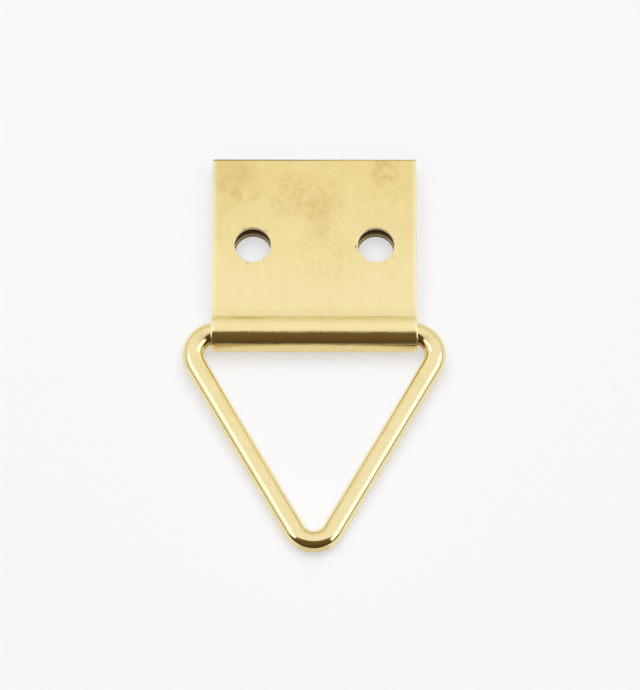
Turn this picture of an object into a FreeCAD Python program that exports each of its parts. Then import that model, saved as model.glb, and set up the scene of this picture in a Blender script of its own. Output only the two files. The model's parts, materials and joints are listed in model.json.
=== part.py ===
import FreeCAD, Part

# Picture hook: a strap of sheet brass folded round the straight side of a triangular wire ring.
# The hook lies on its back leaf. X runs along the knuckle, +Y towards the strap's free end and +Z out of
# the front leaf. The origin is midway between the two screw holes, on the back face.

import math
import os

import Sketcher
from FreeCAD import Placement, Rotation, Vector

# Driving dimensions in millimetres: name, size, meaning. The clearance share is a plain ratio.
DIMENSIONS = [
    ("plate_width", 23.75, "strap width, along the knuckle"),
    ("plate_reach", 21.28, "knuckle axis to the free ends of both leaves"),
    ("sheet_thickness", 0.8, "thickness of the strap"),
    ("leaf_gap", 1.4, "space between the two leaves"),
    ("crease_radius", 0.4, "hollow on the front face where the front leaf leaves the knuckle"),
    ("edge_round", 0.12, "rounding of every cut edge of the strap"),
    ("hole_diameter", 4.2, "screw holes, punched through both leaves"),
    ("hole_spacing", 14.3, "centre to centre of the screw holes"),
    ("hole_reach", 10.6, "knuckle axis to the line of the screw holes"),
    ("wire_diameter", 2.5, "wire of the ring"),
    ("wire_clearance", 0.2, "radial play of the wire in the knuckle"),
    ("clearance_share", 0.75, "share of that play that a bend may use inside the knuckle's mouth"),
    ("bend_radius", 2.7, "wire centreline at the two bends beside the knuckle"),
    ("apex_radius", 2.5, "wire centreline at the bend of the apex"),
    ("ring_reach", 24.84, "knuckle axis to the wire centreline at the apex"),
    ("butt_gap", 0.3, "space between the two wire ends inside the knuckle"),
]

# Sizes that follow from the driving dimensions, written as sheet formulas.
BORE_RADIUS = "(Sizes.wire_diameter / 2 + Sizes.wire_clearance)"
AXIS_HEIGHT = f"({BORE_RADIUS} + Sizes.sheet_thickness)"
BEND_SHIFT = "(Sizes.wire_clearance * Sizes.clearance_share)"
BEND_INNER = "(Sizes.bend_radius - Sizes.wire_diameter / 2)"
BEND_INSET = f"sqrt(2 * {BEND_INNER} * {BEND_SHIFT} - {BEND_SHIFT} ^ 2)"
BEND_START = f"(Sizes.plate_width / 2 - {BEND_INSET})"
REST_TILT = f"asin(({AXIS_HEIGHT} - Sizes.wire_diameter / 2) / Sizes.ring_reach)"

VOLUME_TOLERANCE = 0.001
SKIN_TOLERANCE = 0.001

# Directions in a sketch, in degrees, and the numbers by which a sketch knows its own origin and axes.
SKETCH_NORMAL = Vector(0, 0, 1)
UP, HALF_TURN, DOWN, FULL_TURN = 90, 180, 270, 360
ROOT_POINT = (-1, 1)
SKETCH_AXES = {"horizontal": -1, "vertical": -2}


def make_sheet(document):
    """Puts the driving dimensions in a spreadsheet, one aliased row each."""
    sheet = document.addObject("Spreadsheet::Sheet", "Sizes")
    for row, (name, size, meaning) in enumerate(DIMENSIONS, start=1):
        sheet.set(f"A{row}", name)
        sheet.set(f"B{row}", str(size))
        sheet.set(f"C{row}", meaning)
        sheet.setAlias(f"B{row}", name)
    document.recompute()
    return sheet


def make_body(document, label):
    """Adds an empty body for one sub-part."""
    body = document.addObject("PartDesign::Body", label)
    body.Label = label
    return body


def make_sketch(body, name, plane_role):
    """Adds a sketch on one of the body's own origin planes."""
    sketch = body.newObject("Sketcher::SketchObject", name)
    plane = next(item for item in body.Origin.OriginFeatures if item.Role == plane_role)
    sketch.AttachmentSupport = (plane, "")
    sketch.MapMode = "FlatFace"
    return sketch


def add_line(sketch, start, end):
    """Adds a straight segment and returns its index."""
    return sketch.addGeometry(Part.LineSegment(start, end), False)


def add_arc(sketch, centre, radius, start_degrees, end_degrees):
    """Adds an anticlockwise arc and returns its index."""
    circle = Part.Circle(centre, SKETCH_NORMAL, radius)
    arc = Part.ArcOfCircle(circle, math.radians(start_degrees), math.radians(end_degrees))
    return sketch.addGeometry(arc, False)


def start_of(index):
    """Names the first point of a line or an arc."""
    return index, 1


def end_of(index):
    """Names the last point of a line or an arc."""
    return index, 2


def centre_of(index):
    """Names the centre of an arc or a circle."""
    return index, 3


def relate(sketch, kind, *elements):
    """Adds a geometric constraint."""
    sketch.addConstraint(Sketcher.Constraint(kind, *elements))


def drive(sketch, name, formula, kind, *elements):
    """Adds a dimension at the drawn size, names it and binds it to a sheet formula."""
    drawn = sketch.evalExpression(formula)
    index = sketch.addConstraint(Sketcher.Constraint(kind, *elements, float(drawn)))
    sketch.renameConstraint(index, name)
    sketch.setExpression(f"Constraints.{name}", formula)


def draw_strap_profile(sketch, size):
    """Draws the folded strap's section: back leaf, knuckle, crease and front leaf, of one thickness."""
    bore = size.wire_diameter / 2 + size.wire_clearance
    knuckle = bore + size.sheet_thickness
    crease = size.crease_radius
    front = 2 * size.sheet_thickness + size.leaf_gap
    inner_front = front - size.sheet_thickness
    free_end = size.plate_reach - size.hole_reach
    axis = Vector(-size.hole_reach, knuckle, 0)
    rise = front + crease - knuckle
    run = math.sqrt((knuckle + crease) ** 2 - rise ** 2)
    hollow = Vector(axis.x + run, front + crease, 0)
    lift = math.degrees(math.atan2(rise, run))

    back_face = add_line(sketch, Vector(free_end, 0, 0), Vector(axis.x, 0, 0))
    knuckle_face = add_arc(sketch, axis, knuckle, lift, DOWN)
    crease_face = add_arc(sketch, hollow, crease, HALF_TURN + lift, DOWN)
    front_face = add_line(sketch, Vector(hollow.x, front, 0), Vector(free_end, front, 0))
    front_end = add_line(sketch, Vector(free_end, front, 0), Vector(free_end, inner_front, 0))
    front_inside = add_line(sketch, Vector(free_end, inner_front, 0), Vector(hollow.x, inner_front, 0))
    crease_inside = add_arc(sketch, hollow, crease + size.sheet_thickness, HALF_TURN + lift, DOWN)
    knuckle_bore = add_arc(sketch, axis, bore, lift, DOWN)
    back_inside = add_line(sketch, Vector(axis.x, size.sheet_thickness, 0),
                           Vector(free_end, size.sheet_thickness, 0))
    back_end = add_line(sketch, Vector(free_end, size.sheet_thickness, 0), Vector(free_end, 0, 0))

    relate(sketch, "Tangent", *end_of(back_face), *end_of(knuckle_face))
    relate(sketch, "Tangent", *start_of(knuckle_face), *start_of(crease_face))
    relate(sketch, "Tangent", *end_of(crease_face), *start_of(front_face))
    relate(sketch, "Tangent", *end_of(front_inside), *end_of(crease_inside))
    relate(sketch, "Tangent", *start_of(crease_inside), *start_of(knuckle_bore))
    relate(sketch, "Tangent", *end_of(knuckle_bore), *start_of(back_inside))
    relate(sketch, "Coincident", *end_of(front_face), *start_of(front_end))
    relate(sketch, "Coincident", *end_of(front_end), *start_of(front_inside))
    relate(sketch, "Coincident", *end_of(back_inside), *start_of(back_end))
    relate(sketch, "Coincident", *end_of(back_end), *start_of(back_face))
    for level in (back_face, front_face, front_inside, back_inside):
        relate(sketch, "Horizontal", level)
    for upright in (front_end, back_end):
        relate(sketch, "Vertical", upright)
    relate(sketch, "Coincident", *centre_of(knuckle_face), *centre_of(knuckle_bore))
    relate(sketch, "Vertical", *centre_of(crease_face), *centre_of(crease_inside))
    relate(sketch, "PointOnObject", *start_of(back_face), SKETCH_AXES["horizontal"])
    relate(sketch, "Vertical", *start_of(back_face), *end_of(front_face))

    drive(sketch, "axis_place", "Sizes.hole_reach", "DistanceX", *centre_of(knuckle_bore), *ROOT_POINT)
    drive(sketch, "free_end_place", "Sizes.plate_reach - Sizes.hole_reach", "DistanceX", *ROOT_POINT,
          *start_of(back_face))
    drive(sketch, "bore", BORE_RADIUS, "Radius", knuckle_bore)
    drive(sketch, "crease", "Sizes.crease_radius", "Radius", crease_face)
    drive(sketch, "back_thickness", "Sizes.sheet_thickness", "DistanceY", *end_of(back_end),
          *start_of(back_end))
    drive(sketch, "front_thickness", "Sizes.sheet_thickness", "DistanceY", *end_of(front_end),
          *start_of(front_end))
    drive(sketch, "gap", "Sizes.leaf_gap", "DistanceY", *start_of(back_end), *end_of(front_end))


def draw_screw_holes(sketch, size):
    """Draws the two screw holes either side of the origin, on the line through it."""
    for name, side in (("left", -1), ("right", 1)):
        centre = Vector(side * size.hole_spacing / 2, 0, 0)
        circle = Part.Circle(centre, SKETCH_NORMAL, size.hole_diameter / 2)
        hole = sketch.addGeometry(circle, False)
        left_end, right_end = sorted([ROOT_POINT, centre_of(hole)], reverse=side < 0)
        relate(sketch, "PointOnObject", *centre_of(hole), SKETCH_AXES["horizontal"])
        drive(sketch, f"{name}_place", "Sizes.hole_spacing / 2", "DistanceX", *left_end, *right_end)
        drive(sketch, f"{name}_diameter", "Sizes.hole_diameter", "Diameter", hole)


def make_hanger_plate(document, size):
    """Builds the strap: its section drawn out to the full width, the holes punched, the edges broken."""
    body = make_body(document, "hanger_plate")
    profile = make_sketch(body, "StrapProfile", "YZ_Plane")
    draw_strap_profile(profile, size)
    strap = body.newObject("PartDesign::Pad", "Strap")
    strap.Profile = profile
    strap.SideType = "Symmetric"
    strap.setExpression("Length", "Sizes.plate_width")

    circles = make_sketch(body, "HoleCircles", "XY_Plane")
    draw_screw_holes(circles, size)
    holes = body.newObject("PartDesign::Pocket", "ScrewHoles")
    holes.Profile = circles
    holes.Type = "ThroughAll"
    holes.Reversed = True
    document.recompute()
    check_holes(strap, holes, size)

    edges = body.newObject("PartDesign::Fillet", "BrokenEdges")
    edges.Base = (holes, outer_rims(holes.Shape, size))
    edges.setExpression("Radius", "Sizes.edge_round")
    return body


def outer_rims(shape, size):
    """Names the cut edges of the strap's outer side: long sides, free ends and the mouths of the holes."""
    knuckle = size.wire_diameter / 2 + size.wire_clearance + size.sheet_thickness
    front = 2 * size.sheet_thickness + size.leaf_gap
    skin_edges = []
    for face in shape.Faces:
        surface = face.Surface
        if isinstance(surface, Part.Cylinder):
            measure, skin = surface.Radius, (knuckle, size.crease_radius)
        else:
            measure, skin = face.CenterOfMass.z, (0, front)
        bends_or_lies_flat = isinstance(surface, Part.Cylinder) != (abs(surface.Axis.z) > 0.5)
        if bends_or_lies_flat and any(abs(measure - each) < SKIN_TOLERANCE for each in skin):
            skin_edges.extend(face.Edges)
    return [f"Edge{number}" for number, edge in enumerate(shape.Edges, start=1)
            if sum(edge.isSame(other) for other in skin_edges) == 1]


def check_holes(strap, holes, size):
    """Makes sure that the punched holes went through both leaves."""
    both_leaves = 2 * size.sheet_thickness
    two_discs = 2 * math.pi / 4 * size.hole_diameter ** 2
    expected = both_leaves * two_discs
    removed = strap.Shape.Volume - holes.Shape.Volume
    if not math.isclose(removed, expected, rel_tol=VOLUME_TOLERANCE):
        raise RuntimeError(f"the holes removed {removed:.3f} mm3, not {expected:.3f} mm3")


def draw_ring_path(sketch, size):
    """Draws the wire's centreline, from one cut end in the knuckle round the triangle to the other."""
    bend, apex = size.bend_radius, size.apex_radius
    half_gap = size.butt_gap / 2
    bend_start = float(sketch.evalExpression(BEND_START))
    corner = Vector(bend_start, -bend, 0)
    other_corner = Vector(-bend_start, -bend, 0)
    apex_centre = Vector(0, apex - size.ring_reach, 0)
    between = corner - apex_centre
    climb = math.atan2(between.y, between.x) - math.asin((apex - bend) / between.Length)
    leg = math.degrees(climb) - UP
    outward = Vector(math.cos(math.radians(leg)), math.sin(math.radians(leg)), 0)
    outward_left = Vector(-outward.x, outward.y, 0)

    right_bar = add_line(sketch, Vector(half_gap, 0, 0), Vector(bend_start, 0, 0))
    right_bend = add_arc(sketch, corner, bend, leg, UP)
    right_leg = add_line(sketch, corner + outward * bend, apex_centre + outward * apex)
    apex_bend = add_arc(sketch, apex_centre, apex, HALF_TURN - leg, FULL_TURN + leg)
    left_leg = add_line(sketch, apex_centre + outward_left * apex, other_corner + outward_left * bend)
    left_bend = add_arc(sketch, other_corner, bend, UP, HALF_TURN - leg)
    left_bar = add_line(sketch, Vector(-bend_start, 0, 0), Vector(-half_gap, 0, 0))

    relate(sketch, "Tangent", *end_of(right_bar), *end_of(right_bend))
    relate(sketch, "Tangent", *start_of(right_bend), *start_of(right_leg))
    relate(sketch, "Tangent", *end_of(right_leg), *end_of(apex_bend))
    relate(sketch, "Tangent", *start_of(apex_bend), *start_of(left_leg))
    relate(sketch, "Tangent", *end_of(left_leg), *end_of(left_bend))
    relate(sketch, "Tangent", *start_of(left_bend), *start_of(left_bar))
    relate(sketch, "PointOnObject", *start_of(right_bar), SKETCH_AXES["horizontal"])
    relate(sketch, "PointOnObject", *end_of(left_bar), SKETCH_AXES["horizontal"])
    relate(sketch, "Horizontal", right_bar)
    relate(sketch, "Horizontal", left_bar)
    relate(sketch, "PointOnObject", *centre_of(apex_bend), SKETCH_AXES["vertical"])
    relate(sketch, "Equal", right_bend, left_bend)

    drive(sketch, "right_cut", "Sizes.butt_gap / 2", "DistanceX", *ROOT_POINT, *start_of(right_bar))
    drive(sketch, "left_cut", "Sizes.butt_gap / 2", "DistanceX", *end_of(left_bar), *ROOT_POINT)
    drive(sketch, "right_bend_start", BEND_START, "DistanceX", *ROOT_POINT, *end_of(right_bar))
    drive(sketch, "left_bend_start", BEND_START, "DistanceX", *start_of(left_bar), *ROOT_POINT)
    drive(sketch, "bend", "Sizes.bend_radius", "Radius", right_bend)
    drive(sketch, "apex", "Sizes.apex_radius", "Radius", apex_bend)
    drive(sketch, "apex_place", "Sizes.ring_reach - Sizes.apex_radius", "DistanceY", *centre_of(apex_bend),
          *ROOT_POINT)


def make_triangle_ring(document, size):
    """Builds the ring on its own axis, then hangs it in the knuckle with its apex down on the surface."""
    body = make_body(document, "triangle_ring")
    path = make_sketch(body, "WirePath", "XY_Plane")
    draw_ring_path(path, size)
    section = make_sketch(body, "WireSection", "YZ_Plane")
    section.setExpression("AttachmentOffset.Base.z", "Sizes.butt_gap / 2")
    circle = section.addGeometry(Part.Circle(Vector(), SKETCH_NORMAL, size.wire_diameter / 2), False)
    relate(section, "Coincident", *centre_of(circle), *ROOT_POINT)
    drive(section, "wire", "Sizes.wire_diameter", "Diameter", circle)
    wire = body.newObject("PartDesign::AdditivePipe", "BentWire")
    wire.Profile = section
    wire.Spine = path

    body.Placement = Placement(Vector(), Rotation(Vector(1, 0, 0), 1))
    body.setExpression("Placement.Base.y", "-Sizes.hole_reach")
    body.setExpression("Placement.Base.z", AXIS_HEIGHT)
    body.setExpression("Placement.Rotation.Angle", REST_TILT)
    return body


def check_document(document, bodies):
    """Makes sure that nothing failed to build and that each sub-part is one sound solid."""
    failed = [item.Name for item in document.Objects if {"Invalid", "Error"} & set(item.State)]
    if failed:
        raise RuntimeError("failed to build: " + ", ".join(failed))
    for body in bodies:
        shape = body.Shape
        if shape.isNull() or not shape.isValid() or len(shape.Solids) != 1:
            raise RuntimeError(f"{body.Label} is not one sound solid")


def main():
    """Builds the document and writes one STEP file for each sub-part."""
    document = FreeCAD.newDocument("PictureHook")
    sheet = make_sheet(document)
    bodies = [make_hanger_plate(document, sheet), make_triangle_ring(document, sheet)]
    document.recompute()
    check_document(document, bodies)
    os.makedirs("parts", exist_ok=True)
    for body in bodies:
        body.Shape.exportStep(f"parts/{body.Label}.step")
        box = body.Shape.BoundBox
        print(f"{body.Label}: {body.Shape.Volume:.2f} mm3, "
              f"{box.XLength:.2f} x {box.YLength:.2f} x {box.ZLength:.2f} mm, lowest {box.ZMin:.3f} mm")


main()
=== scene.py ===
"""Dresses a brass picture hook: a sheet strap folded round a triangular wire ring, which swings in it."""

import json
import logging
import math
from collections.abc import Iterable
from dataclasses import dataclass
from enum import Enum
from typing import Any, Optional, Union

import bmesh
import bpy
from mathutils import Matrix, Vector


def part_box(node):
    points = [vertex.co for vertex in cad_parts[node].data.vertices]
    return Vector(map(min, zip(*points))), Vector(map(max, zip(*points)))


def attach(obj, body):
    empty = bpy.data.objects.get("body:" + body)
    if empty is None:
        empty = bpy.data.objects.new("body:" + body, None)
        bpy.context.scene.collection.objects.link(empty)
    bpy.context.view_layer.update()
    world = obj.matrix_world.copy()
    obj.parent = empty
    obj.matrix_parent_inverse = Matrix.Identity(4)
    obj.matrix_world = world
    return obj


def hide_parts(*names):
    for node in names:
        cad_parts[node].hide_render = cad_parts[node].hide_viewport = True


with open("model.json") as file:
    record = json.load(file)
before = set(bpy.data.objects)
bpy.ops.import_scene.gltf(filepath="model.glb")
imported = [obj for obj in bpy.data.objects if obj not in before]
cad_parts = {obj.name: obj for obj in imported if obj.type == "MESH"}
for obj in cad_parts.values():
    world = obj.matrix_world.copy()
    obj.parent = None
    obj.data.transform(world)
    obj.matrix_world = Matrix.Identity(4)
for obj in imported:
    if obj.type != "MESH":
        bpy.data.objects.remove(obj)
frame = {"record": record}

LOG = logging.getLogger("picture_hook")
MM = 0.001
QUARTER_TURN = math.pi / 2.0
X_AXIS = Vector((1.0, 0.0, 0.0))
Y_AXIS = Vector((0.0, 1.0, 0.0))
Z_AXIS = Vector((0.0, 0.0, 1.0))
ORIGIN = Vector((0.0, 0.0, 0.0))
LEFT_FOR_RIGHT = Vector((-1.0, 1.0, 1.0))

Colour = tuple[float, float, float]
Operand = Union["Signal", float]


class Side(Enum):
    """Left or right of the hook, as a sign along X."""

    LEFT = -1
    RIGHT = 1


class Grain(Enum):
    """How a noise is stretched over the metal."""

    EVEN = (1.0, 1.0, 1.0)
    ALONG_STRAP = (1.0, 0.06, 1.0)
    ALONG_KNUCKLE = (0.12, 1.0, 1.0)


class Signal:
    """One shader socket that takes part in plain arithmetic."""

    def __init__(self, bench: "ShaderBench", socket: Optional[bpy.types.NodeSocket]) -> None:
        """Keep the socket and the bench that it was made on."""
        self.bench = bench
        self.socket = socket

    def _math(self, operation: str, *values: Operand) -> "Signal":
        """Add one Math node that works on the given values."""
        inputs = dict(enumerate(values))
        return self.bench.node("ShaderNodeMath", {"operation": operation}, inputs, "Value")

    def __add__(self, other: Operand) -> "Signal":
        """Return self + other."""
        return self._math("ADD", self, other)

    def __radd__(self, other: Operand) -> "Signal":
        """Return other + self."""
        return self._math("ADD", other, self)

    def __sub__(self, other: Operand) -> "Signal":
        """Return self - other."""
        return self._math("SUBTRACT", self, other)

    def __rsub__(self, other: Operand) -> "Signal":
        """Return other - self."""
        return self._math("SUBTRACT", other, self)

    def __mul__(self, other: Operand) -> "Signal":
        """Return self * other."""
        return self._math("MULTIPLY", self, other)

    def __rmul__(self, other: Operand) -> "Signal":
        """Return other * self."""
        return self._math("MULTIPLY", other, self)

    def __truediv__(self, other: Operand) -> "Signal":
        """Return self / other."""
        return self._math("DIVIDE", self, other)

    def __rtruediv__(self, other: Operand) -> "Signal":
        """Return other / self."""
        return self._math("DIVIDE", other, self)

    def __neg__(self) -> "Signal":
        """Return the signal with its sign turned."""
        return self._math("MULTIPLY", self, -1.0)

    def __abs__(self) -> "Signal":
        """Return the size of the signal without its sign."""
        return self._math("ABSOLUTE", self)

    def root(self) -> "Signal":
        """Return the square root."""
        return self._math("SQRT", self)

    def ramp(self, low: float, high: float) -> "Signal":
        """Return a soft step.

        Args:
            low: value of the signal where the step is 0.
            high: value of the signal where the step is 1. It may be the smaller of the two.

        Returns:
            The step, held between 0 and 1.
        """
        settings = {"interpolation_type": "SMOOTHSTEP", "clamp": True}
        if low < high:
            inputs = {"Value": self, "From Min": low, "From Max": high, "To Min": 0.0, "To Max": 1.0}
        else:
            inputs = {"Value": self, "From Min": high, "From Max": low, "To Min": 1.0, "To Max": 0.0}
        return self.bench.node("ShaderNodeMapRange", settings, inputs, "Result")

    def band(self, start: float, end: float, soft: float) -> "Signal":
        """Return 1 between start and end, with soft edges of the given width."""
        half = soft / 2.0
        return self.ramp(start - half, start + half) * self.ramp(end + half, end - half)


class ShaderBench:
    """Lays out the nodes of one material or world."""

    def __init__(self, tree: bpy.types.NodeTree) -> None:
        """Clear the tree, so that only what is laid out here is in it."""
        tree.nodes.clear()
        self.tree = tree

    @staticmethod
    def _pick(sockets: Any, key: Union[int, str]) -> bpy.types.NodeSocket:
        """Find a socket by its place or by its name among those in use."""
        if isinstance(key, int):
            return sockets[key]
        return next(socket for socket in sockets if socket.name == key and socket.enabled)

    def node(
        self,
        kind: str,
        settings: Optional[dict[str, Any]] = None,
        inputs: Optional[dict[Union[int, str], Any]] = None,
        output: Union[int, str] = 0,
    ) -> Signal:
        """Add a node.

        Args:
            kind: the node's type.
            settings: the node's own options, which are set first.
            inputs: values or signals for its sockets, by name or place.
            output: which of its outputs to hand back.

        Returns:
            The chosen output, or an empty signal from a node that has none.
        """
        made = self.tree.nodes.new(kind)
        for name, value in (settings or {}).items():
            setattr(made, name, value)
        for key, value in (inputs or {}).items():
            socket = self._pick(made.inputs, key)
            if isinstance(value, Signal):
                self.tree.links.new(value.socket, socket)
            else:
                socket.default_value = value
        return Signal(self, self._pick(made.outputs, output) if len(made.outputs) else None)

    def mix(self, factor: Operand, first: Any, second: Any) -> Signal:
        """Blend two colours.

        Args:
            factor: how much of the second colour to take, from 0 to 1.
            first: a signal or a plain colour.
            second: a signal or a plain colour.

        Returns:
            The blended colour.
        """
        ends = [value if isinstance(value, Signal) else (*value, 1.0) for value in (first, second)]
        inputs = {"Factor": factor, "A": ends[0], "B": ends[1]}
        return self.node("ShaderNodeMix", {"data_type": "RGBA"}, inputs, "Result")

    def axes(self, vector: Signal) -> list[Signal]:
        """Split a vector into its three numbers."""
        split = self.node("ShaderNodeSeparateXYZ", None, {"Vector": vector}, 0).socket.node
        return [Signal(self, socket) for socket in split.outputs]

    def scaled(self, vector: Signal, factors: tuple[float, float, float]) -> Signal:
        """Multiply a vector, axis by axis."""
        inputs = {0: vector, 1: factors}
        return self.node("ShaderNodeVectorMath", {"operation": "MULTIPLY"}, inputs, "Vector")

    def place_mm(self) -> Signal:
        """Return the point on the piece in millimetres."""
        point = self.node("ShaderNodeTexCoord", None, None, "Object")
        return self.scaled(point, (1.0 / MM, 1.0 / MM, 1.0 / MM))

    def noise(self, place: Signal, size: float, grain: Grain = Grain.EVEN, detail: float = 3.0) -> Signal:
        """Return a cloudy noise.

        Args:
            place: the point to look up, in millimetres.
            size: about how large one cloud is, in millimetres.
            grain: how the clouds are stretched.
            detail: how much finer structure they carry.

        Returns:
            The noise, from 0 to 1 and mostly near 0.5.
        """
        stretched = self.scaled(place, grain.value)
        inputs = {"Vector": stretched, "Scale": 1.0 / size, "Detail": detail, "Roughness": 0.55}
        return self.node("ShaderNodeTexNoise", {"noise_dimensions": "3D"}, inputs, 0)


def swing_axis() -> Vector:
    """Return the point on the knuckle's axis that the ring swings about."""
    joints = frame["record"]["behaviour"]["joints"]
    return Vector(next(joint["pos_m"] for joint in joints if joint["name"] == "ring_swing"))


def verts_in(made: Iterable) -> list[bmesh.types.BMVert]:
    """Pick the vertices out of what an operator made."""
    return [item for item in made if isinstance(item, bmesh.types.BMVert)]


def edges_in(made: Iterable) -> list[bmesh.types.BMEdge]:
    """Pick the edges out of what an operator made."""
    return [item for item in made if isinstance(item, bmesh.types.BMEdge)]


def pull(mesh: bmesh.types.BMesh, line: list) -> tuple[list, list]:
    """Extrude a line of edges, with the new line still lying on the old one.

    Args:
        mesh: the mesh to add to.
        line: the edges to extrude.

    Returns:
        The new vertices, and the new edges that run along the line.
    """
    made = bmesh.ops.extrude_edge_only(mesh, edges=line)["geom"]
    verts = verts_in(made)
    return verts, [edge for edge in edges_in(made) if all(vert in verts for vert in edge.verts)]


def turn(
    mesh: bmesh.types.BMesh,
    line: list,
    centre: Vector,
    axis: Vector,
    angle: float,
    steps: int,
) -> list:
    """Spin a line of edges.

    Args:
        mesh: the mesh to add to.
        line: the edges to spin.
        centre: a point on the axis.
        axis: the axis's direction.
        angle: how far to turn, in radians.
        steps: how many faces the turn has.

    Returns:
        The edges where the turn ends.
    """
    geom = line + list({vert for edge in line for vert in edge.verts})
    made = bmesh.ops.spin(mesh, geom=geom, cent=centre, axis=axis, dvec=ORIGIN, angle=angle, steps=steps)
    return edges_in(made["geom_last"])


def outward(mesh: bmesh.types.BMesh) -> None:
    """Merge doubled points and turn every face the same way."""
    bmesh.ops.remove_doubles(mesh, verts=mesh.verts, dist=1e-7)
    bmesh.ops.recalc_face_normals(mesh, faces=mesh.faces)


def make_piece(name: str, mesh: bmesh.types.BMesh) -> bpy.types.Object:
    """Turn a finished bmesh into a smooth-shaded object at the origin.

    Args:
        name: the piece's name.
        mesh: its shape, which is freed.

    Returns:
        The new object.
    """
    data = bpy.data.meshes.new(name)
    mesh.to_mesh(data)
    mesh.free()
    for polygon in data.polygons:
        polygon.use_smooth = True
    piece = bpy.data.objects.new(name, data)
    bpy.context.scene.collection.objects.link(piece)
    return piece


class StrapMasks:
    """Where the marks of making and handling, and the painted light and shade, are on the strap, as masks
    from 0 to 1, in millimetres.
    """

    def __init__(self, bench: ShaderBench, plate: "HangerPlate") -> None:
        """Read the point on the strap and its sizes, and lay out the masks that others share.

        Args:
            bench: where the material is laid out.
            plate: the strap.
        """
        self.bench = bench
        self.place = bench.place_mm()
        self.x, self.y, self.z = bench.axes(self.place)
        self.half = plate.width / MM / 2.0
        self.end = plate.free_end / MM
        self.top = plate.front_height / MM
        self.sheet = plate.sheet / MM
        self.edge = plate.edge_round / MM
        self.axis = plate.axis.y / MM
        self.bend = plate.knuckle_radius / MM
        self.fold = plate.crease_centre.y / MM
        self.crease_foot = self.axis + self.bend * math.cos(plate.crease_lift)
        # Painted shade: the leaf is paler near the knuckle and darker towards its free end, where tarnish
        # clouds also thicken.
        self.shade_and_tarnish_to_free_end = self.y.ramp(-0.75 * self.end, self.end)
        self.front = self.z.ramp(1.5 * self.sheet, 2.0 * self.sheet)
        self.upper = self.z.ramp(plate.leaf_gap / MM, self.top - 0.1)
        across = abs(self.x) - plate.hole_spacing / MM / 2.0
        self.from_hole = (across * across + self.y * self.y).root() - plate.hole_radius / MM

    def underside(self) -> Signal:
        """Return the knuckle's outermost strip, low above the table, where painted shade stands for the
        shadowed table that it mirrors.
        """
        return self.y.ramp(self.axis - 0.80 * self.bend, self.axis - 0.88 * self.bend)

    def bent(self) -> Signal:
        """Return the crease and the knuckle, which folding left uneven."""
        return self.y.ramp(self.fold + 0.5, self.fold - 0.5)

    def long_edge(self) -> Signal:
        """Return the strap's long edges, where a painted highlight lies."""
        return abs(self.x).ramp(self.half - 6.0 * self.edge, self.half)

    def cut_end(self) -> Signal:
        """Return the dull line along the front leaf's free end, where shears cut it, duller to the left."""
        line = self.y.ramp(self.end - 2.1 * self.edge, self.end - 1.4 * self.edge)
        outer = self.z.ramp(self.top - 1.6 * self.edge, self.top - self.edge)
        return line * outer * (self.x.ramp(5.0, -3.0) * 0.28 + 0.34)

    def crease(self, spread: float) -> Signal:
        """Return the hollow of the crease, fading out over the leaf by spread, where a painted highlight
        and a duller surface lie.
        """
        hollow = self.y.ramp(self.crease_foot - 0.75, self.crease_foot - 0.41)
        return hollow * self.y.ramp(self.fold + spread, self.fold - 0.30) * self.upper

    def tool_marks(self) -> Signal:
        """Return the broken dull line that the folding tool left on the knuckle, beside the crease."""
        line = self.y.band(self.crease_foot - 1.02, self.crease_foot - 0.76, 0.16) * self.upper
        return line * self.bench.noise(self.place, 0.9, Grain.ALONG_KNUCKLE, 2.0).ramp(0.50, 0.62)

    def lip(self) -> Signal:
        """Return the rounded rims of the front leaf's holes, where a painted highlight lies."""
        return self.from_hole.band(-0.05, 0.13, 0.06) * self.z.ramp(self.top - 0.30, self.top - 0.20)

    def unpolished_and_shaded(self) -> Signal:
        """Return where no polishing reached, darkened further as painted shade in the holes and between the
        leaves.

        Returns:
            The leaves' inner faces and the walls of the holes, less so on the back leaf's upper edge.
        """
        inside = self.z.band(self.sheet - 0.05, self.top - self.sheet + 0.05, 0.02)
        inside = inside * self.y.ramp(self.fold, self.fold + 0.5)
        punched = self.from_hole.ramp(0.09, 0.02) * self.z.ramp(self.top - 0.30, self.top - 0.45)
        back_wall = self.z.ramp(self.sheet + 0.06, self.sheet + 0.02) * self.from_hole.ramp(0.15, 0.10)
        back_edge = back_wall * self.z.ramp(self.sheet - 0.16, self.sheet - 0.08)
        return (inside + punched * (1.0 - inside)) * (1.0 - back_wall * 0.15 - back_edge * 0.45)

    def burr(self) -> Signal:
        """Return the few dark specks that the punch left beside the front leaf's holes."""
        specks = self.bench.noise(self.place, 0.42, detail=3.0).ramp(0.60, 0.70)
        return self.from_hole.band(0.0, 0.35, 0.15) * specks * 0.75 * self.front


@dataclass(frozen=True)
class Smudge:
    """A soft patch of tarnish on the front leaf: its place and size in millimetres, and its strengths,
    including the painted glints in it.
    """

    x: float
    y: float
    wide: float
    tall: float
    even: float
    speckled: float
    painted_glint_share: float

    def mask(self, strap: StrapMasks) -> Signal:
        """Return how near a point of the front leaf is to the patch's middle, from 0 to 1."""
        across = (strap.x - self.x) / self.wide
        along = (strap.y - self.y) / self.tall
        return (across * across + along * along).ramp(1.0, 0.0) * strap.front


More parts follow.
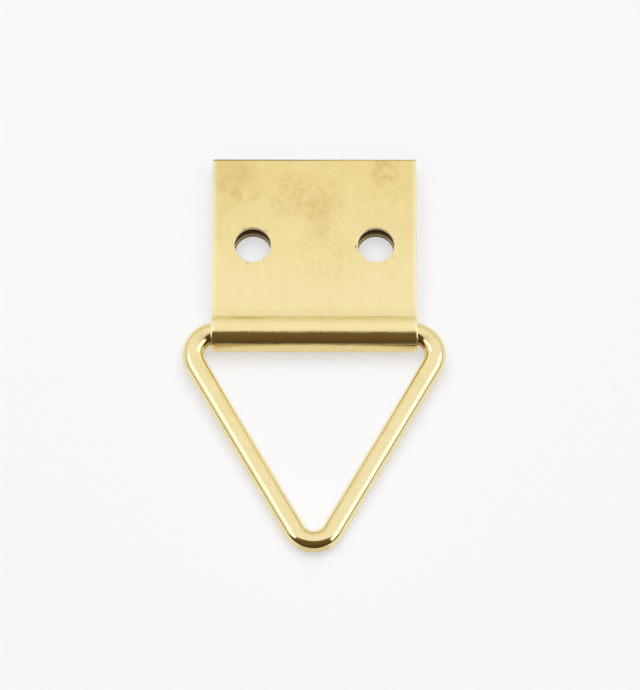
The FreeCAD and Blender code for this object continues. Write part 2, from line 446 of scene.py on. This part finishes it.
@dataclass(frozen=True)
class Brass:
    """Polished yellow brass, with the settings that both pieces share."""

    name: str
    clean: Colour
    pale: Colour
    # A tarnish colour, also used to paint shade on the knuckle's underside and the ring's foot.
    tarnish_and_shade: Colour
    gloss: float
    ripple: float

    def open_bench(self) -> tuple[bpy.types.Material, ShaderBench]:
        """Start the material and its node tree."""
        material = bpy.data.materials.new(self.name)
        material.use_nodes = True
        return material, ShaderBench(material.node_tree)

    def finish(
        self,
        bench: ShaderBench,
        place: Signal,
        colour: Signal,
        rough: Operand,
        worked: Operand = 1.0,
        metal: Operand = 1.0,
    ) -> None:
        """Close the material with a metal shader over a faintly uneven surface.

        Args:
            bench: where the material is laid out.
            place: the point on the piece, in millimetres.
            colour: the metal's colour there.
            rough: how dull it is.
            worked: how much bending left the surface uneven, from 0 to 1.
            metal: 1 for bare metal, less under dirt, painted shade and painted highlights.
        """
        swell = bench.noise(place, 1.1, detail=1.0) * 0.7
        grit = bench.noise(place, 0.16, detail=2.0) * 0.45
        bump = {"Height": (swell + grit) * worked, "Strength": self.ripple, "Distance": 0.1 * MM}
        inputs = {
            "Base Color": colour,
            "Metallic": metal,
            "Roughness": rough,
            "Normal": bench.node("ShaderNodeBump", None, bump, "Normal"),
        }
        shader = bench.node("ShaderNodeBsdfPrincipled", None, inputs, "BSDF")
        bench.node("ShaderNodeOutputMaterial", None, {"Surface": shader})


@dataclass(frozen=True)
class SheetBrass(Brass):
    """The strap's brass: rolled sheet with finger marks and raw punched holes, with painted shade darkening
    it towards its free end, over the knuckle's underside and in the holes, and painted highlights on its
    edges, crease, hole rims and glints.
    """

    raw: Colour = (0.15, 0.080, 0.026)
    # Pale colour of the painted highlights on the long edges and in the crease.
    painted_sheen: Colour = (1.0, 0.935, 0.71)
    # Pale colour of the painted glints and of the painted highlight on the hole rims.
    painted_highlight: Colour = (0.94, 0.83, 0.50)
    free_end_cloud_stain: float = 0.16
    cloud_stain: float = 0.04
    streak_stain: float = 0.05
    underside_painted_shade: float = 0.35
    tarnish_dull: float = 0.10
    fine_dull: float = 0.04
    speck_gain: float = 1.6
    speck_base: float = 0.04
    painted_glint_gain: float = 0.8
    painted_glint_base: float = 0.10
    edge_sheen: float = 0.50
    crease_sheen: float = 0.85
    crease_sheen_spread: float = 0.05
    crease_dull: float = 0.62
    crease_dull_spread: float = 0.60
    tool_mark: float = 0.70
    lip_highlight: float = 0.60
    lip_dull: float = 0.18
    lip_highlight_diffuse: float = 0.50
    wall_stain_and_shade: float = 0.95
    wall_dull: float = 0.60
    wall_dirt_and_shade: float = 0.85
    leaf_ripple: float = 0.2
    smudges: tuple[Smudge, ...] = (
        Smudge(-9.8, 9.0, 3.6, 3.8, 0.30, 0.08, 0.10),
        Smudge(-9.1, 6.1, 0.9, 1.2, 0.10, 0.32, 0.40),
        Smudge(-7.0, 6.3, 0.9, 1.4, 0.12, 0.32, 0.10),
        Smudge(-1.4, 6.0, 5.4, 3.8, 0.10, 0.22, 0.55),
        Smudge(0.6, 3.4, 2.0, 3.6, 0.15, 0.10, 0.30),
        Smudge(8.2, 9.2, 2.4, 2.6, 0.12, 0.30, 0.50),
        Smudge(9.0, 6.6, 1.2, 2.6, 0.06, 0.12, 0.20),
        Smudge(-10.6, 2.5, 1.2, 4.0, 0.05, 0.04, 0.00),
        Smudge(1.0, -1.5, 4.5, 5.0, 0.04, 0.07, 0.20),
    )

    def make(self, plate: "HangerPlate") -> bpy.types.Material:
        """Build the material.

        Args:
            plate: the strap, whose sizes the marks follow.

        Returns:
            The finished material.
        """
        material, bench = self.open_bench()
        strap = StrapMasks(bench, plate)
        masks = [(smudge, smudge.mask(strap)) for smudge in self.smudges]
        even = sum((mask * smudge.even for smudge, mask in masks), 0.0)
        speckled = sum((mask * smudge.speckled for smudge, mask in masks), 0.0)
        painted_glint_share = sum((mask * smudge.painted_glint_share for smudge, mask in masks), 0.0)
        fine = bench.noise(strap.place, 0.8, detail=6.0).ramp(0.38, 0.66)
        # Tarnish, with the painted shade of the knuckle's underside.
        tarnish_and_shade = even + speckled * fine + self._all_over(strap)
        # Painted shade: paler near the knuckle, darker towards the free end.
        colour = bench.mix(strap.shade_and_tarnish_to_free_end, self.pale, self.clean)
        colour = bench.mix(tarnish_and_shade, colour, self.tarnish_and_shade)
        specks = bench.noise(strap.place, 0.30, detail=2.0).ramp(0.62, 0.78) * fine
        colour = bench.mix(specks * (speckled * self.speck_gain + self.speck_base), colour, self.tarnish_and_shade)
        # Painted glints: bright specks of colour standing in for light caught by fine scratches.
        painted_glints = bench.noise(strap.place, 0.26, detail=2.0).ramp(0.58, 0.70)
        colour = bench.mix(painted_glints * (painted_glint_share * self.painted_glint_gain + self.painted_glint_base), colour, self.painted_highlight)
        # Painted highlight along the strap's long edges.
        colour = bench.mix(strap.long_edge() * self.edge_sheen, colour, self.painted_sheen)
        colour = bench.mix(strap.cut_end(), colour, self.raw)
        # Painted highlight in the hollow of the crease, brightening its reflection.
        colour = bench.mix(strap.crease(self.crease_sheen_spread) * self.crease_sheen, colour, self.painted_sheen)
        colour = bench.mix(strap.tool_marks() * self.tool_mark, colour, self.tarnish_and_shade)
        lip = strap.lip()
        wall = strap.unpolished_and_shaded()
        # Painted highlight on the front holes' rounded rims, less metallic so that it shows as colour.
        colour = bench.mix(lip * self.lip_highlight, colour, self.painted_highlight)
        # Raw unpolished brass, made near black as painted shade in the holes and between the leaves.
        colour = bench.mix(wall * self.wall_stain_and_shade, colour, self.raw)
        colour = bench.mix(strap.burr(), colour, self.raw)
        rough = self.gloss + tarnish_and_shade * self.tarnish_dull + fine * self.fine_dull
        rough = rough + wall * self.wall_dull + lip * self.lip_dull
        rough = rough + strap.crease(self.crease_dull_spread) * self.crease_dull
        worked = strap.bent() * (1.0 - self.leaf_ripple) + self.leaf_ripple
        metal = 1.0 - wall * self.wall_dirt_and_shade - lip * self.lip_highlight_diffuse
        self.finish(bench, strap.place, colour, rough, worked, metal)
        return material

    def _all_over(self, strap: StrapMasks) -> Signal:
        """Return the tarnish that no single mark left, and the painted shade on the knuckle's underside.

        Args:
            strap: the masks of the strap.

        Returns:
            Clouds that thicken to the free end, streaks along the sheet's rolling and painted shade on the
            knuckle's underside.
        """
        clouds = strap.bench.noise(strap.place, 3.2, detail=3.0).ramp(0.30, 0.72)
        streaks = strap.bench.noise(strap.place, 0.55, Grain.ALONG_STRAP, 2.0).ramp(0.42, 0.75)
        tarnish_and_shade = clouds * (strap.shade_and_tarnish_to_free_end * self.free_end_cloud_stain + self.cloud_stain)
        # Painted shade on the knuckle's underside, for the shadowed table that it mirrors.
        return tarnish_and_shade + streaks * self.streak_stain + strap.underside() * self.underside_painted_shade


@dataclass(frozen=True)
class WireBrass(Brass):
    """The ring's brass: smooth drawn wire, with painted shade where it turns into the knuckle and at the
    apex's foot.
    """

    # Painted shade colour for the wire beside the knuckle's ends.
    knuckle_shade: Colour = (0.20, 0.125, 0.045)
    knuckle_shade_share: float = 0.55
    knuckle_shade_run: float = 2.0
    mouth_gap: float = 0.65
    foot_shade_share: float = 0.60
    dull_stain: float = 0.22
    dull_rough: float = 0.05

    def make(self, ring: "TriangleRing") -> bpy.types.Material:
        """Build the material.

        Args:
            ring: the ring, whose sizes the marks follow.

        Returns:
            The finished material.
        """
        material, bench = self.open_bench()
        place = bench.place_mm()
        x, y, _ = bench.axes(place)
        end = ring.front_end / MM
        mouth = ring.half_side / MM + self.mouth_gap
        axis = ring.axis.y / MM
        clouds = bench.noise(place, 2.6, detail=3.0).ramp(0.30, 0.75)
        colour = bench.mix(clouds, self.pale, self.clean)
        dull = bench.noise(place, 0.6, detail=3.0).ramp(0.55, 0.80)
        # Painted shade on the apex's lowest strip, for the shadowed table that it mirrors.
        foot_shade = y.ramp(end + 0.75, end + 0.40)
        colour = bench.mix(dull * self.dull_stain + foot_shade * self.foot_shade_share, colour, self.tarnish_and_shade)
        # Painted shade: the wire darkens beside the knuckle's ends, where it mirrors the knuckle's dark
        # end.
        knuckle_shade = abs(x).ramp(mouth + self.knuckle_shade_run, mouth) * y.band(axis - 1.9, axis - 0.65, 0.7)
        colour = bench.mix(knuckle_shade * self.knuckle_shade_share, colour, self.knuckle_shade)
        self.finish(bench, place, colour, self.gloss + dull * self.dull_rough)
        return material


@dataclass(frozen=True)
class HangerPlate:
    """The strap: two leaves, and the knuckle that they are folded into."""

    width: float
    free_end: float
    axis: Vector
    hole_radius: float
    hole_spacing: float
    sheet: float = 0.8 * MM
    leaf_gap: float = 1.4 * MM
    crease_radius: float = 0.4 * MM
    edge_round: float = 0.12 * MM
    cell: float = 3.2 * MM
    hole_sides: int = 96
    crease_steps: int = 16
    knuckle_steps: int = 96
    round_steps: int = 3
    sharp_deg: float = 40.0

    @classmethod
    def from_frame(cls) -> "HangerPlate":
        """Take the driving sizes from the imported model.

        Returns:
            The strap.
        """
        low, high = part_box("hanger_plate")
        mounts = frame["record"]["mounts"]
        holes = next(mount["dims"] for mount in mounts if mount["name"] == "screw_holes")
        return cls(
            width=high.x - low.x,
            free_end=high.y,
            axis=swing_axis(),
            hole_radius=holes["hole_r_mm"] * MM,
            hole_spacing=holes["spacing_x_mm"] * MM,
        )

    @property
    def knuckle_radius(self) -> float:
        """Outside radius of the knuckle, which stands on the back face."""
        return self.axis.z

    @property
    def front_height(self) -> float:
        """Height of the front leaf's face."""
        return 2.0 * self.sheet + self.leaf_gap

    @property
    def rim(self) -> float:
        """Width of the strip that is kept along the cut edges, so that their rounding stays clean."""
        return 2.0 * self.edge_round

    @property
    def crease_centre(self) -> Vector:
        """Centre of the hollow bend where the front leaf turns up into the knuckle."""
        height = self.front_height + self.crease_radius
        reach = self.knuckle_radius + self.crease_radius
        away = math.sqrt(reach**2 - (height - self.axis.z) ** 2)
        return Vector((0.0, self.axis.y + away, height))

    @property
    def crease_lift(self) -> float:
        """Angle above level of the line from the knuckle's axis to the crease's centre."""
        away = self.crease_centre - self.axis
        return math.atan2(away.z, away.y)

    def build(self) -> bpy.types.Object:
        """Fold the strap's outer skin and give it its thickness.

        Returns:
            The strap.
        """
        mesh = bmesh.new()
        fold = self._fold_line(mesh)
        rise = self.crease_lift - QUARTER_TURN
        bend = turn(mesh, fold, self.crease_centre, X_AXIS, rise, self.crease_steps)
        wrap = 3.0 * QUARTER_TURN - self.crease_lift
        back = turn(mesh, bend, self.axis, X_AXIS, wrap, self.knuckle_steps)
        self._leaf(mesh, fold, self.front_height)
        self._leaf(mesh, back, 0.0)
        outward(mesh)
        mesh.normal_update()
        crown = max(mesh.faces, key=lambda face: face.calc_center_median().z)
        if crown.normal.z < 0.0:
            bmesh.ops.reverse_faces(mesh, faces=mesh.faces)
        piece = make_piece("folded_strap", mesh)
        self._thicken(piece)
        return piece

    def _thicken(self, piece: bpy.types.Object) -> None:
        """Give the skin the sheet's thickness inwards, and round its cut edges.

        Args:
            piece: the strap's skin.
        """
        wall = piece.modifiers.new("sheet", "SOLIDIFY")
        wall.thickness = self.sheet
        wall.offset = -1.0
        wall.use_even_offset = True
        edges = piece.modifiers.new("edges", "BEVEL")
        edges.width = self.edge_round
        edges.segments = self.round_steps
        edges.limit_method = "ANGLE"
        edges.angle_limit = math.radians(self.sharp_deg)
        flat = piece.modifiers.new("flat_faces", "WEIGHTED_NORMAL")
        flat.keep_sharp = False

    def _fold_line(self, mesh: bmesh.types.BMesh) -> list:
        """Lay the line where the front leaf meets the crease, split beside each hole.

        Args:
            mesh: the mesh to add to.

        Returns:
            The line's edges.
        """
        half = self.width / 2.0
        hole = self.hole_spacing / 2.0
        right = [hole - self.cell, hole + self.cell, half - self.rim, half]
        stops = [-stop for stop in reversed(right)] + right
        verts = [mesh.verts.new((stop, self.crease_centre.y, self.front_height)) for stop in stops]
        return [mesh.edges.new(pair) for pair in zip(verts, verts[1:])]

    def _leaf(self, mesh: bmesh.types.BMesh, line: list, height: float) -> None:
        """Pull one leaf from the fold to the free end and cut its two holes.

        Args:
            mesh: the mesh to add to.
            line: the edges where the leaf leaves the fold.
            height: height of the leaf's outer face.
        """
        start = line[0].verts[0].co.y
        for stop in (start + self.rim, -self.cell, self.cell, self.free_end - self.rim, self.free_end):
            verts, line = pull(mesh, line)
            for vert in verts:
                vert.co.y = stop
        for side in Side:
            self._hole(mesh, Vector((side.value * self.hole_spacing / 2.0, 0.0, height)))

    def _hole(self, mesh: bmesh.types.BMesh, centre: Vector) -> None:
        """Cut one round hole out of the square cell about its centre.

        Args:
            mesh: the mesh to cut.
            centre: the middle of the hole, on the leaf's outer face.
        """
        cell = min(mesh.faces, key=lambda face: (face.calc_center_median() - centre).length)
        sides = list(cell.edges)
        bmesh.ops.delete(mesh, geom=[cell], context="FACES_ONLY")
        cuts = self.hole_sides // len(sides) - 1
        border = edges_in(bmesh.ops.subdivide_edges(mesh, edges=sides, cuts=cuts)["geom_split"])
        verts, _ = pull(mesh, border)
        for vert in verts:
            vert.co = centre + (vert.co - centre).normalized() * self.hole_radius

    def dress(self, piece: bpy.types.Object, finish: SheetBrass) -> None:
        """Give the strap its metal and hand it to the plate's body.

        Args:
            piece: the strap.
            finish: its metal.
        """
        piece.data.materials.append(finish.make(self))
        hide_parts("hanger_plate")
        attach(piece, "plate")


@dataclass(frozen=True)
class TriangleRing:
    """The wire ring: a straight side in the knuckle, two bends, two legs and the apex."""

    axis: Vector
    half_width: float
    front_end: float
    wire: float = 2.5 * MM
    bend_radius: float = 2.7 * MM
    apex_radius: float = 2.5 * MM
    butt_gap: float = 0.3 * MM
    wire_sides: int = 48
    bend_steps: int = 36
    cut_round: float = 0.12 * MM
    round_steps: int = 3

    @classmethod
    def from_frame(cls) -> "TriangleRing":
        """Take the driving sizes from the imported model."""
        low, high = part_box("triangle_ring")
        return cls(axis=swing_axis(), half_width=high.x, front_end=low.y)

    @property
    def half_side(self) -> float:
        """Half of the straight side, up to where the bends start."""
        return self.half_width - self.bend_radius - self.wire / 2.0

    @property
    def reach(self) -> float:
        """Distance from the straight side to the apex, along the wire's centreline."""
        level = self.axis.y - self.front_end - self.wire / 2.0
        return math.hypot(level, self.axis.z - self.wire / 2.0)

    @property
    def rest_tilt(self) -> float:
        """Angle that the ring drops by, until its apex lies on the surface under it."""
        return math.asin((self.axis.z - self.wire / 2.0) / self.reach)

    @property
    def apex_centre(self) -> Vector:
        """Centre of the apex bend, before the ring is tilted."""
        return Vector((0.0, self.apex_radius - self.reach, 0.0))

    @property
    def bend_centre(self) -> Vector:
        """Centre of the right bend, before the ring is tilted."""
        return Vector((self.half_side, -self.bend_radius, 0.0))

    @property
    def leg_lean(self) -> float:
        """Angle by which each leg's outer side faces away from sideways, towards the front."""
        away = self.bend_centre - self.apex_centre
        gain = math.asin((self.bend_radius - self.apex_radius) / away.length)
        return math.atan2(away.x, away.y) + gain

    def build(self) -> bpy.types.Object:
        """Draw the wire along the ring's path, from one cut end round to the other.

        Returns:
            The ring.
        """
        mesh = bmesh.new()
        start = Matrix.Translation(X_AXIS * self.butt_gap / 2.0) @ Matrix.Rotation(QUARTER_TURN, 4, "Y")
        circle = bmesh.ops.create_circle(
            mesh, cap_ends=True, segments=self.wire_sides, radius=self.wire / 2.0, matrix=start
        )
        first_cut = list({edge for vert in circle["verts"] for edge in vert.link_edges})
        last_cut = self._draw(mesh, first_cut)
        bmesh.ops.edgeloop_fill(mesh, edges=last_cut)
        outward(mesh)
        bmesh.ops.bevel(
            mesh,
            geom=first_cut + last_cut,
            offset=self.cut_round,
            offset_type="OFFSET",
            segments=self.round_steps,
            profile=0.5,
            affect="EDGES",
            material=-1,
        )
        tilt = Matrix.Translation(self.axis) @ Matrix.Rotation(self.rest_tilt, 4, "X")
        bmesh.ops.transform(mesh, matrix=tilt, verts=mesh.verts)
        return make_piece("wire_ring", mesh)

    def _draw(self, mesh: bmesh.types.BMesh, loop: list) -> list:
        """Draw the wire round the whole ring.

        Args:
            mesh: the mesh to add to.
            loop: the edges round the wire where it starts.

        Returns:
            The edges round the wire where it ends.
        """
        half_bar = X_AXIS * (self.half_side - self.butt_gap / 2.0)
        leg_out = Vector((math.cos(self.leg_lean), -math.sin(self.leg_lean), 0.0))
        leg_top = self.bend_centre + leg_out * self.bend_radius
        leg_foot = self.apex_centre + leg_out * self.apex_radius
        side_turn = -QUARTER_TURN - self.leg_lean
        apex_turn = 2.0 * (self.leg_lean - QUARTER_TURN)
        loop = self._straight(mesh, loop, half_bar)
        loop = self._bend(mesh, loop, self.bend_centre, side_turn)
        loop = self._straight(mesh, loop, leg_foot - leg_top)
        loop = self._bend(mesh, loop, self.apex_centre, apex_turn)
        loop = self._straight(mesh, loop, (leg_top - leg_foot) * LEFT_FOR_RIGHT)
        loop = self._bend(mesh, loop, self.bend_centre * LEFT_FOR_RIGHT, side_turn)
        return self._straight(mesh, loop, half_bar)

    @staticmethod
    def _straight(mesh: bmesh.types.BMesh, loop: list, run: Vector) -> list:
        """Draw the wire straight on by the given run and return where it ends."""
        verts, loop = pull(mesh, loop)
        bmesh.ops.translate(mesh, vec=run, verts=verts)
        return loop

    def _bend(self, mesh: bmesh.types.BMesh, loop: list, centre: Vector, angle: float) -> list:
        """Draw the wire round a bend in the ring's plane and return where it ends."""
        return turn(mesh, loop, centre, Z_AXIS, angle, self.bend_steps)

    def dress(self, piece: bpy.types.Object, finish: WireBrass) -> None:
        """Give the wire its metal and hand it to the ring's body.

        Args:
            piece: the ring.
            finish: its metal.
        """
        piece.data.materials.append(finish.make(self))
        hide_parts("triangle_ring")
        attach(piece, "ring")


@dataclass(frozen=True)
class SidePanel:
    """A lit panel beside the hook, given by slopes seen from it: up or forward, over sideways."""

    side: Side
    low: float
    high: float
    front: float
    back: float = -0.30
    strength: float = 2.0
    soft_ends: float = 0.10
    soft_edges: float = 0.12

    def mask(self, x: Signal, forward: Signal, rise: Signal) -> Signal:
        """Return where the panel is in the tent.

        Args:
            x: how far to the right a direction points.
            forward: its slope towards the camera's side.
            rise: its slope upwards.

        Returns:
            1 on the panel and 0 beside it.
        """
        beside = (x * float(self.side.value)).ramp(0.0, 0.01)
        along = forward.band(self.back, self.front, self.soft_ends)
        return beside * along * rise.band(self.low, self.high, self.soft_edges)


@dataclass(frozen=True)
class SoftLamp:
    """A round lamp over the table. The metal mirrors the tent instead of it."""

    name: str
    lean_deg: float
    distance: float
    size: float
    level: float

    def hang(self, aim: Vector) -> bpy.types.Object:
        """Hang the lamp over a point, leaning towards the far side.

        Args:
            aim: the point that the lamp faces.

        Returns:
            The lamp, as bright as gives the table its level, where 1 is a white sky all round.
        """
        lean = math.radians(self.lean_deg)
        data = bpy.data.lights.new(self.name, "AREA")
        data.shape = "DISK"
        data.size = self.size
        data.energy = self.level * math.pi**2 * (self.distance**2 + self.size**2 / 4.0) / math.cos(lean)
        lamp = bpy.data.objects.new(self.name, data)
        lamp.visible_camera = False
        lamp.visible_glossy = False
        bpy.context.scene.collection.objects.link(lamp)
        tilt = Matrix.Rotation(-lean, 4, "X")
        lamp.matrix_world = Matrix.Translation(aim) @ tilt @ Matrix.Translation(Z_AXIS * self.distance)
        return lamp


@dataclass(frozen=True)
class Studio:
    """The pale table, the light tent round it, the lamps and the camera over it."""

    aim: Vector
    elevation_deg: float = 70.5
    distance: float = 0.48297
    lens: float = 218.52
    sensor: float = 36.0
    clip: float = 0.01
    shift_right: float = 0.6651 * MM
    shift_up: float = -1.3874 * MM
    roll_deg: float = 0.0843
    table_radius: float = 4.0
    table_sides: int = 96
    table_colour: Colour = (0.970, 0.973, 0.982)
    table_roughness: float = 0.9
    table_white: float = 0.50
    tent: Colour = (1.0, 1.0, 1.0)
    near_skirt: Colour = (0.22, 0.19, 0.11)
    far_skirt: Colour = (0.52, 0.48, 0.35)
    far_wall: Colour = (0.78, 0.75, 0.55)
    room_high: Colour = (0.150, 0.098, 0.042)
    room_low: Colour = (0.085, 0.060, 0.026)
    opening_foot: float = 0.16
    opening_narrowing: float = 0.22
    panels: tuple[SidePanel, ...] = (
        SidePanel(Side.LEFT, low=0.66, high=1.40, front=0.74),
        SidePanel(Side.RIGHT, low=0.36, high=1.20, front=0.90),
    )
    lamps: tuple[SoftLamp, ...] = (
        SoftLamp("key_lamp", lean_deg=9.0, distance=1.0, size=1.10, level=0.58),
        SoftLamp("fill_lamp", lean_deg=0.0, distance=0.9, size=4.0, level=0.345),
    )

    def lay_table(self) -> bpy.types.Object:
        """Lay the pale table that the hook lies on: part plain white, part a surface that takes shadow.

        Returns:
            The table.
        """
        mesh = bmesh.new()
        bmesh.ops.create_circle(mesh, cap_ends=True, segments=self.table_sides, radius=self.table_radius)
        table = make_piece("table", mesh)
        material = bpy.data.materials.new("pale_table")
        material.use_nodes = True
        bench = ShaderBench(material.node_tree)
        colour = (*self.table_colour, 1.0)
        inputs = {"Base Color": colour, "Roughness": self.table_roughness, "Specular IOR Level": 0.0}
        cloth = bench.node("ShaderNodeBsdfPrincipled", None, inputs, "BSDF")
        white = bench.node("ShaderNodeEmission", None, {"Color": colour, "Strength": 1.0}, 0)
        seen = bench.node("ShaderNodeLightPath", None, None, "Is Camera Ray")
        seen = seen + bench.node("ShaderNodeLightPath", None, None, "Is Glossy Ray")
        seen = seen + bench.node("ShaderNodeLightPath", None, None, "Is Transmission Ray")
        share = seen.ramp(0.0, 1.0) * self.table_white
        mixed = bench.node("ShaderNodeMixShader", None, {0: share, 1: cloth, 2: white}, 0)
        bench.node("ShaderNodeOutputMaterial", None, {"Surface": mixed})
        table.data.materials.append(material)
        return table

    def hang_tent(self) -> bpy.types.World:
        """Put up a white tent with two side panels, open to a dim room behind the camera.

        Returns:
            The world. Only the metal mirrors it: the lamps light the table.
        """
        world = bpy.data.worlds.new("light_tent")
        world.use_nodes = True
        bench = ShaderBench(world.node_tree)
        way = bench.node("ShaderNodeTexCoord", None, None, "Generated")
        x, y, z = bench.axes(way)
        aside = abs(x) + 0.001
        forward = -y / aside
        rise = z / aside
        room = bench.mix(z.ramp(0.0, 0.9), self.room_low, self.room_high)
        narrowing = z.ramp(0.0, 0.45) * self.opening_narrowing + self.opening_foot
        opening = (-y - aside * narrowing).ramp(0.09, 0.23)
        skirt = bench.mix(y.ramp(-0.15, 0.15), self.near_skirt, self.far_skirt)
        sides = bench.mix(z.ramp(0.05, 0.30), skirt, self.tent)
        behind = bench.mix(z.ramp(0.10, 0.90), self.far_wall, self.tent)
        light = bench.mix((y - aside * 0.8).ramp(0.0, 0.3), sides, behind)
        light = bench.mix(opening, light, room)
        for panel in self.panels:
            light = bench.mix(panel.mask(x, forward, rise), light, (panel.strength,) * 3)
        glow = bench.node("ShaderNodeBackground", None, {"Color": light, "Strength": 1.0}, 0)
        bench.node("ShaderNodeOutputWorld", None, {"Surface": glow})
        world.cycles_visibility.diffuse = False
        bpy.context.scene.world = world
        return world

    def place_camera(self) -> bpy.types.Object:
        """Set the camera over the front edge, looking down at the hook.

        Returns:
            The camera.
        """
        data = bpy.data.cameras.new("camera")
        data.lens = self.lens
        data.sensor_fit = "AUTO"
        data.sensor_width = self.sensor
        data.clip_start = self.clip
        camera = bpy.data.objects.new("camera", data)
        bpy.context.scene.collection.objects.link(camera)
        tilt = Matrix.Rotation(math.radians(90.0 - self.elevation_deg), 4, "X")
        right = tilt.to_3x3() @ X_AXIS
        up = tilt.to_3x3() @ Y_AXIS
        back = tilt.to_3x3() @ Z_AXIS
        spot = self.aim + right * self.shift_right + up * self.shift_up + back * self.distance
        roll = Matrix.Rotation(math.radians(self.roll_deg), 4, "Z")
        camera.matrix_world = Matrix.Translation(spot) @ tilt @ roll
        bpy.context.scene.camera = camera
        return camera

    def set_up(self) -> None:
        """Put up table, tent, lamps and camera, and keep colours as written."""
        self.lay_table()
        self.hang_tent()
        for lamp in self.lamps:
            lamp.hang(self.aim)
        self.place_camera()
        bpy.context.scene.view_settings.view_transform = "Standard"


def main() -> None:
    """Build the pieces in order and set up the studio."""
    logging.basicConfig(level=logging.INFO, format="%(message)s")
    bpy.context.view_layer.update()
    sheet = SheetBrass(
        name="sheet_brass",
        clean=(0.865, 0.705, 0.31),
        pale=(0.915, 0.775, 0.405),
        tarnish_and_shade=(0.62, 0.43, 0.13),
        gloss=0.13,
        ripple=0.32,
    )
    drawn = WireBrass(
        name="wire_brass",
        clean=(0.86, 0.725, 0.39),
        pale=(0.90, 0.765, 0.43),
        tarnish_and_shade=(0.62, 0.46, 0.20),
        gloss=0.08,
        ripple=0.06,
    )
    plate = HangerPlate.from_frame()
    ring = TriangleRing.from_frame()
    plate.dress(plate.build(), sheet)
    LOG.info("strap: %.1f mm wide, folded round a knuckle", plate.width / MM)
    ring.dress(ring.build(), drawn)
    LOG.info("ring: %.1f mm wire", ring.wire / MM)
    Studio(aim=plate.axis).set_up()
    LOG.info("studio: table, tent, lamps and camera")


if __name__ == "__main__":
    main()
